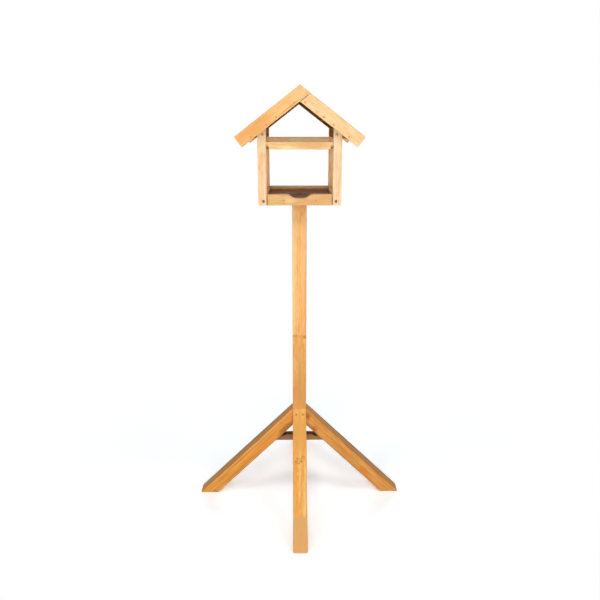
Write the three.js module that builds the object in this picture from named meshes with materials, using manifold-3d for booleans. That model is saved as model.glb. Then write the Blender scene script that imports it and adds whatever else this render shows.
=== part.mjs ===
// Garden bird table: a roofed feeding tray on a square upright that stands on four sloping legs.
// Millimetres, +Z up. The upright stands on the Z axis, the ground is z = 0 and the gable with the
// scooped rail faces -Y.
import * as THREE from 'three';
import { mergeVertices } from 'three/addons/utils/BufferGeometryUtils.js';
import Module from 'manifold-3d';

// Stand: the upright and the legs are cut from one square stock
const standStock = 38.5;
const legTopHeight = 277;
const legReach = 297;
const toeHeight = 6;
const toeRun = 4.1;
const uprightJointHeight = 503;
const braceHeight = 24.5;
const braceThickness = 12;
const braceDrop = 45.3;
const braceEndMargin = 8;

// Tray: four rails round a floor board
const trayBottomHeight = 876.5;
const houseWidth = 206;
const houseDepth = 222;
const cornerPostWidth = 21;
const railHeight = 27;
const railThickness = 16;
const floorThickness = 10;
const floorLift = 7;
const scoopDepth = 10;
const scoopWidth = 68;
const scoopFlatWidth = 16;

// House frame: the outer height of the corner posts, and the drop of each tie bar below the plates
const postHeight = 169.2;
const plateThickness = 16;
const plateHeight = 23;
const tieBarHeight = 18;
const frontTieBarDrop = 8.5;
const rearTieBarDrop = 2.5;

// Roof: boards held between bargeboards, depths measured square to the slope from its top edge
const roofPitchDegrees = 37;
const gableOverhang = 39;
const eavesOverhang = 52.3;
const bargeboardWidth = 30;
const bargeboardThickness = 12;
const roofBoardThickness = 10;
const vergeDrop = 1.5;
const eavesSetback = 25;

// Clearances
const fitGap = 0.3;
const boardGap = 0.8;
const cutOverrun = 6;

// Countersunk wood screws
const screwShankRadius = 2;
const screwHeadRadius = 3.5;
const screwHeadHeight = 2.6;
const screwRimHeight = 0.5;
const screwTipLength = 5;
const longScrewLength = 45;
const shortScrewLength = 30;

// Dowel screw, pointed at both ends
const dowelScrewRadius = 4;
const dowelScrewLength = 80;

// Round-head wire nails
const nailShankRadius = 1.1;
const nailHeadRadius = 2.1;
const nailHeadHeight = 0.8;
const nailTipLength = 2.5;
const shortNailLength = 22;
const railNailLength = 30;

// Places of the fasteners
const headSink = 0.2;
const skewHeadSink = 1.2;
const legScrewSpacing = 19.6;
const legScrewDrop = 19;
const legScrewPointReach = 1.3;
const sideLegScrewDrop = 31;
const floorScrewSpacing = 18;
const railNailSpacing = 80;
const cornerScrewHeight = 10;
const plateScrewDrop = 8;
const tieNailInset = 4;
const skewNailTurnDegrees = 50;

const screwSides = 8;
const nailSides = 6;

// Values that several pieces share
const halfStock = standStock / 2;
const halfWidth = houseWidth / 2;
const halfDepth = houseDepth / 2;
const insideHalfWidth = halfWidth - cornerPostWidth;
const insideHalfDepth = halfDepth - cornerPostWidth;
const pitch = THREE.MathUtils.degToRad(roofPitchDegrees);
const boardUnderside = bargeboardWidth - vergeDrop;
const frameTop = boardUnderside + fitGap;
const ridgeLift = postHeight + halfWidth * Math.tan(pitch) + frameTop / Math.cos(pitch);

// Legs: the upper end stands against the upright, the foot is level and the toe nearly square
const legInner = halfStock + fitGap;
const toeReach = legReach - toeRun;
const legSlope = Math.atan2(legTopHeight - toeHeight, toeReach - legInner);
const legLowerHeight = legTopHeight - standStock / Math.cos(legSlope);
const braceTopHeight = legLowerHeight - braceDrop;
const braceBottomHeight = braceTopHeight - braceHeight;

const wasm = await Module();
wasm.setup();

const table = new THREE.Group();
const house = new THREE.Group();
house.position.z = trayBottomHeight;
table.add(house);
const roof = new THREE.Group();
roof.position.z = ridgeLift;
house.add(roof);

const leftAndRight = [['left', -1], ['right', 1]];
const frontAndRear = [['front', -1], ['rear', 1]];

// Clear-oiled softwood, paler where the grain is planed across the house
function standWood() {
  return new THREE.MeshStandardMaterial({ color: '#e8ac66', roughness: 0.6, metalness: 0 });
}

function houseWood() {
  return new THREE.MeshStandardMaterial({ color: '#f3cf9b', roughness: 0.6, metalness: 0 });
}

function trayWood() {
  return new THREE.MeshStandardMaterial({ color: '#a9784c', roughness: 0.7, metalness: 0 });
}

function roofWood() {
  return new THREE.MeshStandardMaterial({ color: '#f2c07c', roughness: 0.6, metalness: 0 });
}

function zincPlatedSteel() {
  return new THREE.MeshStandardMaterial({ color: '#8d8267', roughness: 0.45, metalness: 0.8 });
}

// Adds a named sub-part to a group
function addPiece(parent, name, geometry, material) {
  const piece = new THREE.Mesh(geometry, material);
  piece.name = name;
  parent.add(piece);
  return piece;
}

// A board seen from the front: its outline in X and Z, centred on Y
function boardGeometry(outline, thickness) {
  const points = outline.map(([x, z]) => new THREE.Vector2(x, z));
  return shapeGeometry(new THREE.Shape(points), thickness);
}

function shapeGeometry(shape, thickness) {
  const geometry = new THREE.ExtrudeGeometry(shape, { depth: thickness, bevelEnabled: false });
  geometry.rotateX(Math.PI / 2);
  geometry.translate(0, thickness / 2, 0);
  return geometry;
}

// A closed geometry as a solid that can be cut
function toSolid(geometry) {
  const bare = geometry.clone();
  bare.deleteAttribute('normal');
  bare.deleteAttribute('uv');
  const merged = mergeVertices(bare);
  const corners = merged.index.array;
  const triangles = [];
  for (let i = 0; i < corners.length; i += 3) {
    const [a, b, c] = [corners[i], corners[i + 1], corners[i + 2]];
    if (a !== b && b !== c && c !== a) triangles.push(a, b, c);
  }
  const vertProperties = new Float32Array(merged.attributes.position.array);
  const triVerts = new Uint32Array(triangles);
  return new wasm.Manifold(new wasm.Mesh({ numProp: 3, vertProperties, triVerts }));
}

function toGeometry(solid) {
  const mesh = solid.getMesh();
  const geometry = new THREE.BufferGeometry();
  geometry.setAttribute('position', new THREE.BufferAttribute(mesh.vertProperties, 3));
  geometry.setIndex(new THREE.BufferAttribute(mesh.triVerts, 1));
  geometry.computeVertexNormals();
  return geometry;
}

// Outline of a countersunk screw, from the middle of its head down to its point. The bore for it is
// the same outline grown by the clearance and open above the head.
function screwOutline(length, clearance, headTop) {
  const shank = screwShankRadius + clearance;
  const head = screwHeadRadius + clearance;
  return [
    [0, headTop],
    [head, headTop],
    [head, -screwRimHeight - clearance],
    [shank, -screwHeadHeight - clearance],
    [shank, screwTipLength - length],
    [0, -length - clearance],
  ];
}

// Outline of a wire nail, in the same way
function nailOutline(length, clearance, headTop) {
  const shank = nailShankRadius + clearance;
  const head = nailHeadRadius + clearance;
  return [
    [0, headTop],
    [head, headTop],
    [head, -nailHeadHeight - clearance],
    [shank, -nailHeadHeight - clearance],
    [shank, nailTipLength - length],
    [0, -length - clearance],
  ];
}

// Outline of a dowel screw, from its upper point down to its lower one
function dowelScrewOutline(length, clearance) {
  const shank = dowelScrewRadius + clearance;
  return [
    [0, clearance],
    [shank, -screwTipLength],
    [shank, screwTipLength - length],
    [0, -length - clearance],
  ];
}

function turned(outline, sides) {
  const points = outline.map(([radius, height]) => new THREE.Vector2(radius, height));
  return new THREE.LatheGeometry(points.reverse(), sides);
}

const screw = { outline: screwOutline, sides: screwSides };
const nail = { outline: nailOutline, sides: nailSides };
const dowelScrew = { outline: dowelScrewOutline, sides: screwSides };

// Adds one fastener, given the middle of its head and the way that it is driven
function addFastener(parent, name, kind, length, middle, way) {
  const mesh = addPiece(parent, name, turned(kind.outline(length, 0, 0), kind.sides), zincPlatedSteel());
  mesh.position.copy(middle);
  mesh.quaternion.setFromUnitVectors(new THREE.Vector3(0, -1, 0), way);
  return { mesh, bore: turned(kind.outline(length, fitGap, cutOverrun), kind.sides) };
}

// Cuts the bores of some fasteners out of a piece that they pass through
function boreFor(piece, fasteners) {
  piece.updateWorldMatrix(true, false);
  const intoPiece = piece.matrixWorld.clone().invert();
  let solid = toSolid(piece.geometry);
  for (const { mesh, bore } of fasteners) {
    mesh.updateWorldMatrix(true, false);
    const place = intoPiece.clone().multiply(mesh.matrixWorld);
    solid = solid.subtract(toSolid(bore.clone().applyMatrix4(place)));
  }
  piece.geometry = toGeometry(solid);
}

// Upright: two lengths butted end to end, from the lower edge of the brace to the tray floor
function addUpright(name, bottom, top) {
  const geometry = new THREE.BoxGeometry(standStock, standStock, top - bottom);
  const post = addPiece(table, name, geometry, standWood());
  post.position.z = (bottom + top) / 2;
  return post;
}

const lowerUpright = addUpright('lower_upright', braceBottomHeight, uprightJointHeight);
const upperUpright = addUpright('upper_upright', uprightJointHeight, trayBottomHeight + floorLift);

// A dowel screw draws them together, half its length in each
const down = new THREE.Vector3(0, 0, -1);
const upperPoint = new THREE.Vector3(0, 0, uprightJointHeight + dowelScrewLength / 2);
const uprightScrew = addFastener(
  table, 'upright_dowel_screw', dowelScrew, dowelScrewLength, upperPoint, down
);

// Legs: each is drawn in X and Z, running out along +X, and turned about the upright
function legReachAt(height) {
  return legInner + (legTopHeight - height) / Math.tan(legSlope);
}

function legOutline() {
  return [
    [legInner, legTopHeight],
    [legInner, legLowerHeight],
    [legInner + legLowerHeight / Math.tan(legSlope), 0],
    [legReach, 0],
    [toeReach, toeHeight],
  ];
}

// Two screws go square through the sloping face of each leg into the upright. The side legs have
// theirs lower, so that they pass under those of the front and rear legs, whose points end short of
// the middle of the upright.
function legScrewReach(drop) {
  return legInner + drop * Math.cos(legSlope) - headSink * Math.sin(legSlope);
}

const legScrewLength = (legScrewReach(legScrewDrop) - legScrewPointReach) / Math.sin(legSlope);

function addLegScrews(arm, side, drop) {
  const x = legScrewReach(drop);
  const z = legTopHeight - drop * Math.sin(legSlope) - headSink * Math.cos(legSlope);
  const way = new THREE.Vector3(-Math.sin(legSlope), 0, -Math.cos(legSlope));
  return [-1, 1].map((hand, i) => {
    const middle = new THREE.Vector3(x, hand * legScrewSpacing / 2, z);
    return addFastener(arm, `${side}_leg_screw_${i + 1}`, screw, legScrewLength, middle, way);
  });
}

const legs = {};
const legScrews = [];
const legTurns = [['right', 0], ['rear', 1], ['left', 2], ['front', 3]];
for (const [side, quarterTurns] of legTurns) {
  const arm = new THREE.Group();
  arm.rotation.z = quarterTurns * Math.PI / 2;
  table.add(arm);
  const isSideLeg = quarterTurns % 2 === 0;
  const screws = addLegScrews(arm, side, isSideLeg ? sideLegScrewDrop : legScrewDrop);
  legs[side] = addPiece(arm, `${side}_leg`, boardGeometry(legOutline(), standStock), standWood());
  boreFor(legs[side], screws);
  legScrews.push(...screws);
}

// Brace: a board behind the upright that ties the two side legs, with its ends cut to their slope
function braceOutline() {
  const bottomHalf = legReachAt(braceBottomHeight) - braceEndMargin;
  const topHalf = legReachAt(braceTopHeight) - braceEndMargin;
  return [
    [-bottomHalf, braceBottomHeight],
    [bottomHalf, braceBottomHeight],
    [topHalf, braceTopHeight],
    [-topHalf, braceTopHeight],
  ];
}

const braceMiddleHeight = braceBottomHeight + braceHeight / 2;
const braceFront = halfStock + fitGap;
const braceRear = braceFront + braceThickness;
const brace = addPiece(table, 'leg_brace', boardGeometry(braceOutline(), braceThickness), standWood());
brace.position.y = braceFront + braceThickness / 2;

// One screw goes through the brace into the upright, and one into each side leg
const legMiddleReach = legReachAt(braceMiddleHeight) - standStock / Math.sin(legSlope) / 2;
const braceScrews = [['left', -1], ['middle', 0], ['right', 1]].map(([name, side]) => {
  const middle = new THREE.Vector3(side * legMiddleReach, braceRear - headSink, braceMiddleHeight);
  const forward = new THREE.Vector3(0, -1, 0);
  return addFastener(table, `brace_screw_${name}`, screw, shortScrewLength, middle, forward);
});
boreFor(brace, braceScrews);
boreFor(legs.left, braceScrews);
boreFor(legs.right, braceScrews);

// Tray floor: lies on the end of the upright and is screwed down into it
const floorTop = floorLift + floorThickness;
const floorMiddle = floorLift + floorThickness / 2;
const railInner = halfDepth - railThickness;
const floorWidth = 2 * (insideHalfWidth - fitGap);
const floorDepth = 2 * (railInner - fitGap);
const trayFloor = addPiece(
  house, 'tray_floor', new THREE.BoxGeometry(floorWidth, floorDepth, floorThickness), trayWood()
);
trayFloor.position.z = floorMiddle;

const floorScrews = leftAndRight.map(([name, side]) => {
  const middle = new THREE.Vector3(side * floorScrewSpacing / 2, 0, floorTop - headSink);
  return addFastener(house, `floor_screw_${name}`, screw, longScrewLength, middle, down);
});
boreFor(upperUpright, [uprightScrew, ...floorScrews]);
boreFor(lowerUpright, [uprightScrew, ...braceScrews, ...legScrews]);

// Front rail: its top edge dips in a soft scoop at the middle
function scoopedRailShape() {
  const end = insideHalfWidth - fitGap;
  const shoulder = scoopWidth / 2;
  const flat = scoopFlatWidth / 2;
  const bend = (shoulder - flat) / 2;
  const bottom = railHeight - scoopDepth;
  const shape = new THREE.Shape();
  shape.moveTo(-end, 0);
  shape.lineTo(end, 0);
  shape.lineTo(end, railHeight);
  shape.lineTo(shoulder, railHeight);
  shape.bezierCurveTo(shoulder - bend, railHeight, flat + bend, bottom, flat, bottom);
  shape.lineTo(-flat, bottom);
  shape.bezierCurveTo(-flat - bend, bottom, -shoulder + bend, railHeight, -shoulder, railHeight);
  shape.lineTo(-end, railHeight);
  return shape;
}

// Rear rail: the same board with a straight top edge
function plainRailShape() {
  const end = insideHalfWidth - fitGap;
  return new THREE.Shape([
    new THREE.Vector2(-end, 0),
    new THREE.Vector2(end, 0),
    new THREE.Vector2(end, railHeight),
    new THREE.Vector2(-end, railHeight),
  ]);
}

// Two nails through each cross rail hold the edge of the floor board
const railNails = {};
for (const [end, endSide] of frontAndRear) {
  const shape = end === 'front' ? scoopedRailShape() : plainRailShape();
  const rail = addPiece(house, `${end}_rail`, shapeGeometry(shape, railThickness), houseWood());
  rail.position.y = endSide * (halfDepth - railThickness / 2);
  const face = endSide * (halfDepth - headSink);
  const inward = new THREE.Vector3(0, -endSide, 0);
  railNails[end] = leftAndRight.map(([name, side]) => {
    const middle = new THREE.Vector3(side * railNailSpacing / 2, face, floorMiddle);
    return addFastener(house, `${end}_rail_nail_${name}`, nail, railNailLength, middle, inward);
  });
  boreFor(rail, railNails[end]);
}
boreFor(trayFloor, [...floorScrews, ...railNails.front, ...railNails.rear]);

// Side rails: between the corner posts, flush with their inner faces
const sideRailLength = 2 * (insideHalfDepth - fitGap);
const sideRailMiddle = insideHalfWidth + railThickness / 2;
const sideRails = {};
for (const [name, side] of leftAndRight) {
  const rail = addPiece(
    house, `${name}_side_rail`, new THREE.BoxGeometry(railThickness, sideRailLength, railHeight), houseWood()
  );
  rail.position.set(side * sideRailMiddle, 0, railHeight / 2);
  sideRails[name] = rail;
}

// Height above the tray's underside where the top of the frame meets the roof, at a distance from
// the middle
function frameTopAt(x) {
  return ridgeLift - frameTop / Math.cos(pitch) - x * Math.tan(pitch);
}

// Corner posts: they stand level with the rails and are cut to the pitch of the roof
function cornerPostOutline(side) {
  return [
    [side * insideHalfWidth, 0],
    [side * halfWidth, 0],
    [side * halfWidth, frameTopAt(halfWidth)],
    [side * insideHalfWidth, frameTopAt(insideHalfWidth)],
  ];
}

const corners = [];
for (const [end, endSide] of frontAndRear) {
  for (const [name, side] of leftAndRight) {
    const post = addPiece(
      house, `${end}_${name}_post`, boardGeometry(cornerPostOutline(side), cornerPostWidth), houseWood()
    );
    post.position.y = endSide * (halfDepth - cornerPostWidth / 2);
    corners.push({ post, end, name, endSide, side });
  }
}

// Eaves plates: front to back between the post tops, with a top edge that carries the roof boards.
// Their height is that of the inner face.
const plateLift = frameTopAt(insideHalfWidth) - plateHeight;
const plateOuter = insideHalfWidth + plateThickness;
const plateMiddle = insideHalfWidth + plateThickness / 2;

function eavesPlateOutline(side) {
  return [
    [side * insideHalfWidth, plateLift],
    [side * plateOuter, plateLift],
    [side * plateOuter, frameTopAt(plateOuter)],
    [side * insideHalfWidth, frameTopAt(insideHalfWidth)],
  ];
}

const eavesPlates = {};
for (const [name, side] of leftAndRight) {
  eavesPlates[name] = addPiece(
    house, `${name}_eaves_plate`, boardGeometry(eavesPlateOutline(side), sideRailLength), houseWood()
  );
}

// Tie bars: across the gable openings, between the posts and as deep as they are
const tieBarLength = 2 * (insideHalfWidth - fitGap);
const tieBarLifts = {
  front: plateLift - frontTieBarDrop - tieBarHeight,
  rear: plateLift - rearTieBarDrop - tieBarHeight,
};
const tieBars = {};
for (const [end, side] of frontAndRear) {
  const bar = addPiece(
    house, `${end}_tie_bar`, new THREE.BoxGeometry(tieBarLength, cornerPostWidth, tieBarHeight), houseWood()
  );
  bar.position.set(0, side * (halfDepth - cornerPostWidth / 2), tieBarLifts[end] + tieBarHeight / 2);
  tieBars[end] = bar;
}

// Fasteners through each corner post: a screw into the side rail, one into the eaves plate, and a nail
// driven askew through the lower corner of the tie bar
function addCornerFasteners({ end, name, endSide, side }) {
  const corner = `${end}_${name}`;
  const face = endSide * (halfDepth - headSink);
  const turn = THREE.MathUtils.degToRad(skewNailTurnDegrees);
  const alongY = new THREE.Vector3(0, -endSide, 0);
  const askew = new THREE.Vector3(side * Math.sin(turn), -endSide * Math.cos(turn), 0);
  const sideRailPlace = new THREE.Vector3(side * sideRailMiddle, face, cornerScrewHeight);
  const platePlace = new THREE.Vector3(side * plateMiddle, face, frameTopAt(plateMiddle) - plateScrewDrop);
  const tiePlace = new THREE.Vector3(
    side * (insideHalfWidth - tieNailInset),
    endSide * (halfDepth - skewHeadSink),
    tieBarLifts[end] + tieNailInset
  );
  const addScrew = (joint, place) =>
    addFastener(house, `${corner}_${joint}_screw`, screw, longScrewLength, place, alongY);
  return {
    sideRailScrew: addScrew('side_rail', sideRailPlace),
    plateScrew: addScrew('plate', platePlace),
    tieNail: addFastener(house, `${corner}_tie_bar_nail`, nail, shortNailLength, tiePlace, askew),
  };
}

for (const corner of corners) {
  corner.fasteners = addCornerFasteners(corner);
  boreFor(corner.post, Object.values(corner.fasteners));
}
for (const [end] of frontAndRear) {
  const atEnd = corners.filter((corner) => corner.end === end).map((corner) => corner.fasteners);
  boreFor(tieBars[end], atEnd.map((set) => set.tieNail));
}
for (const [name] of leftAndRight) {
  const atSide = corners.filter((corner) => corner.name === name).map((corner) => corner.fasteners);
  boreFor(sideRails[name], atSide.map((set) => set.sideRailScrew));
  boreFor(eavesPlates[name], atSide.map((set) => set.plateScrew));
}

// Roof slopes: each is drawn in its own frame, where X runs along the slope from the ridge, with
// its sign, and Z is square to it. The left slope laps over the head of the right one.

// Distance along a slope, at one depth, where a plane of the other slope crosses it
function ridgeMeeting(depth, otherDepth) {
  const sum = depth + otherDepth;
  const difference = depth - otherDepth;
  return sum * Math.tan(pitch) / 2 - difference / (2 * Math.tan(pitch));
}

// Outline of a roof member between two depths whose head is cut along a plane of the other slope
function slopeOutline(side, top, underside, otherDepth, end) {
  const rows = [
    [ridgeMeeting(top, otherDepth), top],
    [end, top],
    [end, underside],
    [ridgeMeeting(underside, otherDepth), underside],
  ];
  return rows.map(([along, depth]) => [side * along, -depth]);
}

function plainSlopeOutline(side, top, underside, start, end) {
  const rows = [[start, top], [end, top], [end, underside], [start, underside]];
  return rows.map(([along, depth]) => [side * along, -depth]);
}

const halfRoofDepth = halfDepth + gableOverhang;
const roofBoardLength = 2 * (halfRoofDepth - bargeboardThickness - fitGap);
const slopeLength = (halfWidth + eavesOverhang) / Math.cos(pitch);
const boardTop = boardUnderside - roofBoardThickness;
const boardEnd = slopeLength - eavesSetback;
const boardHead = ridgeMeeting(boardUnderside, boardUnderside);
const boardJoint = (boardHead + boardEnd) / 2;
for (const [name, side] of leftAndRight) {
  const slope = new THREE.Group();
  slope.rotation.y = side * pitch;
  roof.add(slope);
  const laps = side < 0;
  const bargeboardPlane = laps ? 0 : bargeboardWidth + fitGap;
  const boardPlane = laps ? boardTop : boardUnderside + fitGap;
  const upper = slopeOutline(side, boardTop, boardUnderside, boardPlane, boardJoint - boardGap / 2);
  const lower = plainSlopeOutline(side, boardTop, boardUnderside, boardJoint + boardGap / 2, boardEnd);
  const barge = slopeOutline(side, 0, bargeboardWidth, bargeboardPlane, slopeLength);
  addPiece(slope, `${name}_upper_roof_board`, boardGeometry(upper, roofBoardLength), roofWood());
  addPiece(slope, `${name}_lower_roof_board`, boardGeometry(lower, roofBoardLength), roofWood());
  for (const [end, endSide] of frontAndRear) {
    const bargeboard = addPiece(
      slope, `${end}_${name}_bargeboard`, boardGeometry(barge, bargeboardThickness), roofWood()
    );
    bargeboard.position.y = endSide * (halfRoofDepth - bargeboardThickness / 2);
  }
}

export default table;
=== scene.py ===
# Roofed bird table in clear-oiled softwood, made in the order in which it is put together: the
# stand, the tray, the house frame and the roof. Sizes are in millimetres until a mesh is made.
import math

import bmesh
import bpy
from mathutils import Matrix, Vector


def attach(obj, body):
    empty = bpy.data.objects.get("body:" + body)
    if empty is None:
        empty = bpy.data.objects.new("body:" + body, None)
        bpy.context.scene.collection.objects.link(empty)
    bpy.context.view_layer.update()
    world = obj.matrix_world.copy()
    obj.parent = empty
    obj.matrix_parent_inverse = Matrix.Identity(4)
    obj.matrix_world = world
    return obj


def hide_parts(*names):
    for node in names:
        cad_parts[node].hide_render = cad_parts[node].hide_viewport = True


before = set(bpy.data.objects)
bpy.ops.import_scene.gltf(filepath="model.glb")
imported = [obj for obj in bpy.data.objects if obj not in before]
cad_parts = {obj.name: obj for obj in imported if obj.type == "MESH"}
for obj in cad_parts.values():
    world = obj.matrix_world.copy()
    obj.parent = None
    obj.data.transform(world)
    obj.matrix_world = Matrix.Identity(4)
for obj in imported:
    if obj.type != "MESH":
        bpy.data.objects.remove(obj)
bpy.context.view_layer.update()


# Upright: two lengths of planed square softwood, oiled, butted end to end with a dowel screw
# inside. The lower one starts at the underside of the leg brace, and the tray stands on the
# upper one.
STOCK = 38.5
HALF_STOCK = STOCK / 2
UPRIGHT_FOOT = 152.98
UPRIGHT_JOINT = 503
UPRIGHT_TOP = 883.5
NEAR_FACE = -19.2

MM = 0.001
UP = Vector((0, 0, 1))
DOWN = Vector((0, 0, -1))
FORWARD = Vector((0, -1, 0))
BACK = Vector((0, 1, 0))
RIGHT = Vector((1, 0, 0))
LEFT = Vector((-1, 0, 0))

STOCK_ARRIS = 2.4
ARRIS = 1.3
ARRIS_STEPS = 3
CUT_EDGE = 0.35
CUT_STEPS = 2
END_SHARE = 0.3
FLAT_ANGLE = math.radians(20)
CREASE_ANGLE = math.radians(38)


def new_object(name, data):
    """Adds an object with that mesh, light or camera to the scene."""
    made = bpy.data.objects.new(name, data)
    bpy.context.scene.collection.objects.link(made)
    return made


def eased(solid, along, end_share, arris, cut_edge):
    """Rounds the long arrises of a board, and takes the burr off its cut ends."""

    def is_end(face):
        return abs(face.normal.dot(along)) > end_share

    def is_corner(edge):
        return len(edge.link_faces) == 2 and edge.calc_face_angle(0) > FLAT_ANGLE

    arrises = [e for e in solid.edges if is_corner(e) and not any(is_end(f) for f in e.link_faces)]
    bmesh.ops.bevel(
        solid, geom=arrises, offset=arris, segments=ARRIS_STEPS, affect="EDGES", profile=0.5
    )
    cuts = [e for e in solid.edges if is_corner(e) and any(is_end(f) for f in e.link_faces)]
    bmesh.ops.bevel(
        solid, geom=cuts, offset=cut_edge, segments=CUT_STEPS, affect="EDGES", profile=0.5
    )


def sawn(
    name, outline, span, along, face, place=Matrix(), end_share=END_SHARE, arris=ARRIS,
    cut_edge=CUT_EDGE,
):
    """A board with an outline in X and Z and a span in Y. In its own frame X runs with the grain
    and Z out of its best face."""
    solid = bmesh.new()
    near, far = span
    rows = [[solid.verts.new((x, y, z)) for x, z in outline] for y in (near, far)]
    solid.faces.new(rows[0])
    solid.faces.new(rows[1][::-1])
    for i in range(len(outline)):
        j = (i + 1) % len(outline)
        solid.faces.new((rows[0][i], rows[1][i], rows[1][j], rows[0][j]))
    bmesh.ops.recalc_face_normals(solid, faces=solid.faces)
    eased(solid, along, end_share, arris, cut_edge)
    corners = [v.co for v in solid.verts]
    middle = Vector(
        [(min(c[i] for c in corners) + max(c[i] for c in corners)) / 2 for i in range(3)]
    )
    across = face.cross(along)
    own = Matrix((along, across, face)).transposed().to_4x4()
    own.translation = middle
    solid.transform(Matrix.Scale(MM, 4) @ own.inverted())
    mesh = bpy.data.meshes.new(name)
    solid.to_mesh(mesh)
    solid.free()
    own.translation = middle * MM
    shift = place.copy()
    shift.translation = place.translation * MM
    piece = new_object(name, mesh)
    piece.matrix_world = shift @ own
    return piece


def box_outline(half_width, bottom, top):
    """The outline of a square-cut board that lies evenly on both sides of the middle."""
    return [(-half_width, bottom), (half_width, bottom), (half_width, top), (-half_width, top)]


def settled(piece):
    """Applies a piece's modifiers to its mesh."""
    bpy.context.view_layer.update()
    shaped = piece.evaluated_get(bpy.context.evaluated_depsgraph_get())
    mesh = bpy.data.meshes.new_from_object(shaped)
    piece.modifiers.clear()
    piece.data = mesh
    mesh.name = piece.name


def fitted(piece, slot, *nodes):
    """Gives a finished piece even shading, and puts it in the place of its solids."""
    piece.data.shade_smooth()
    piece.data.set_sharp_from_angle(angle=CREASE_ANGLE)
    weighted = piece.modifiers.new("flat_faces", "WEIGHTED_NORMAL")
    weighted.keep_sharp = True
    settled(piece)
    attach(piece, "root")
    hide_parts(*nodes)


class Shade:
    """A socket in a material, on which arithmetic adds Math nodes."""

    def __init__(self, tree, socket=None):
        self.tree = tree
        self.socket = socket

    def node(self, kind, settings=None, inputs=None, output=0):
        """Adds a node: first its settings, then the values or links of its sockets."""
        made = self.tree.nodes.new(kind)
        for key, value in (settings or {}).items():
            if key == "stops":
                self.set_stops(made.color_ramp, value)
            else:
                setattr(made, key, value)
        for key, value in (inputs or {}).items():
            if isinstance(value, Shade):
                self.tree.links.new(value.socket, made.inputs[key])
            else:
                made.inputs[key].default_value = value
        return Shade(self.tree, made.outputs[output]) if len(made.outputs) else None

    def set_stops(self, ramp, stops):
        """Gives a ramp its greys, as pairs of position and level."""
        ramp.elements.remove(ramp.elements[1])
        ramp.elements[0].position = stops[0][0]
        for position, _ in stops[1:]:
            ramp.elements.new(position)
        for element, (_, level) in zip(ramp.elements, stops):
            element.color = (level, level, level, 1)

    def other(self, output):
        """Another output of the node that this socket is on."""
        return Shade(self.tree, self.socket.node.outputs[output])

    def maths(self, operation, *others):
        values = dict(enumerate((self, *others)))
        return self.node("ShaderNodeMath", {"operation": operation}, values)

    def vector(self, operation, *others, output=0):
        values = dict(enumerate((self, *others)))
        return self.node("ShaderNodeVectorMath", {"operation": operation}, values, output)

    def split(self):
        parts = self.node("ShaderNodeSeparateXYZ", inputs={0: self})
        return parts, parts.other(1), parts.other(2)

    def mix(self, factor, first, second, how="MIX"):
        """Blends two colours."""
        settings = {"data_type": "RGBA", "blend_type": how}
        return self.node("ShaderNodeMix", settings, {0: factor, 6: first, 7: second}, 2)

    def fade(self, start, end):
        """0 at start and 1 at end, with a soft change between."""
        settings = {"interpolation_type": "SMOOTHSTEP"}
        limits = {"Value": self, "From Min": start, "From Max": end}
        return self.node("ShaderNodeMapRange", settings, limits)

    def ramp(self, *stops):
        return self.node("ShaderNodeValToRGB", {"stops": stops}, {0: self})

    def __add__(self, other):
        return self.maths("ADD", other)

    def __mul__(self, other):
        return self.maths("MULTIPLY", other)

    __radd__ = __add__

    def __sub__(self, other):
        return self.maths("SUBTRACT", other)

    def __truediv__(self, other):
        return self.maths("DIVIDE", other)

    def __pow__(self, other):
        return self.maths("POWER", other)

    def __abs__(self):
        return self.maths("ABSOLUTE")


def linear(red, green, blue):
    """A colour given in screen levels from 0 to 255, as a shader takes it."""

    def level(value):
        value = value / 255
        return value / 12.92 if value <= 0.04045 else ((value + 0.055) / 1.055) ** 2.4

    return (level(red), level(green), level(blue), 1)


def times(colour, red, green, blue):
    """A colour with each of its channels multiplied."""
    return (min(colour[0] * red, 1), min(colour[1] * green, 1), min(colour[2] * blue, 1), 1)


def new_shade(material):
    """Starts an empty node tree."""
    material.use_nodes = True
    material.node_tree.nodes.clear()
    return Shade(material.node_tree)


KNOT_HEART = linear(150, 84, 44)
KNOT_RIM = linear(74, 40, 22)
PITH_WANDER = 12
BRANCH_RISE = 6
WORN_BAND = 2.2
GRAIN_STRENGTH = 0.35
GRAIN_RELIEF = 0.00015


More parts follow.
